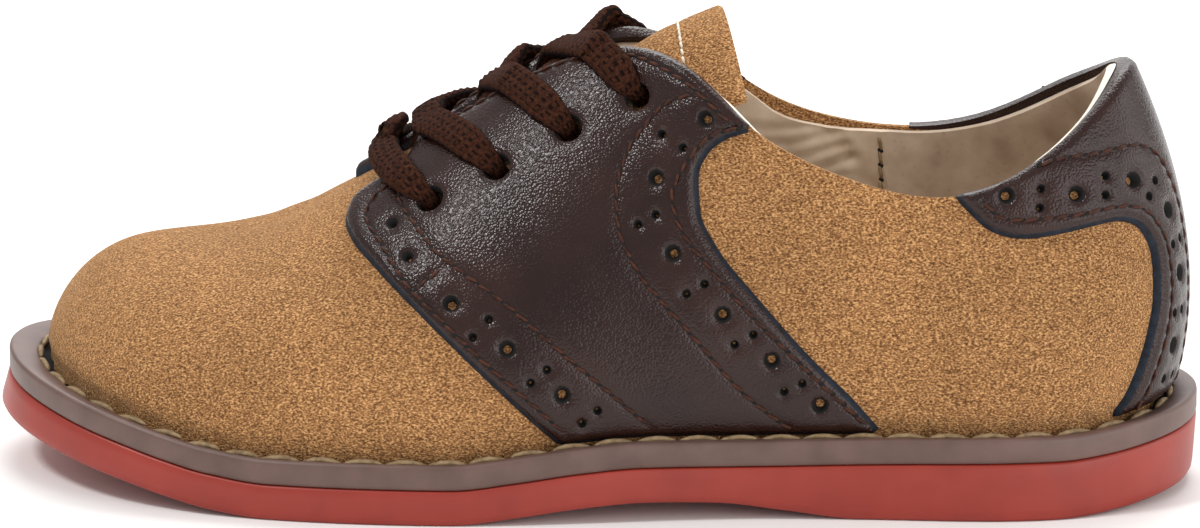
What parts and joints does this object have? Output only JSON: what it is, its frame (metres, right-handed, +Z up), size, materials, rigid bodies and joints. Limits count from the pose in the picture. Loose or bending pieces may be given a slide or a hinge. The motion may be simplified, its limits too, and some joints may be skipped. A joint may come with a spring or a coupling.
{
  "type": "saddle shoe",
  "caption": "Child's left saddle shoe: tan suede upper, dark leather saddle and backstay, flat lace, stitched welt and red rubber sole with a low heel.",
  "frame": {"origin": "on the floor, under the middle of the shoe's length and width", "axes": "+X from toe to heel, -Y to the lateral (outer) side of a left foot, +Z up"},
  "size_m": [0.188, 0.0719, 0.0742],
  "materials": {
    "red_rubber": "smooth brick-red rubber, satin",
    "brown_rubber": "smooth mauve-brown welt, satin",
    "lining_leather": "beige lining leather, matt",
    "tan_suede": "tan suede with a short nap",
    "brown_leather": "smooth dark brown leather, fine grain, semi-gloss",
    "brown_cotton": "flat braided cotton"
  },
  "bodies": {
    "root": {"outsole": "red_rubber", "welt": "brown_rubber", "insole": "lining_leather", "upper": "tan_suede", "tongue": "tan_suede", "saddle_lateral": "brown_leather", "saddle_medial": "brown_leather", "backstay": "brown_leather", "lace_bar": "brown_cotton", "lace_cross_1": "brown_cotton", "lace_cross_2": "brown_cotton", "lace_cross_3": "brown_cotton"}
  },
  "joints": []
}
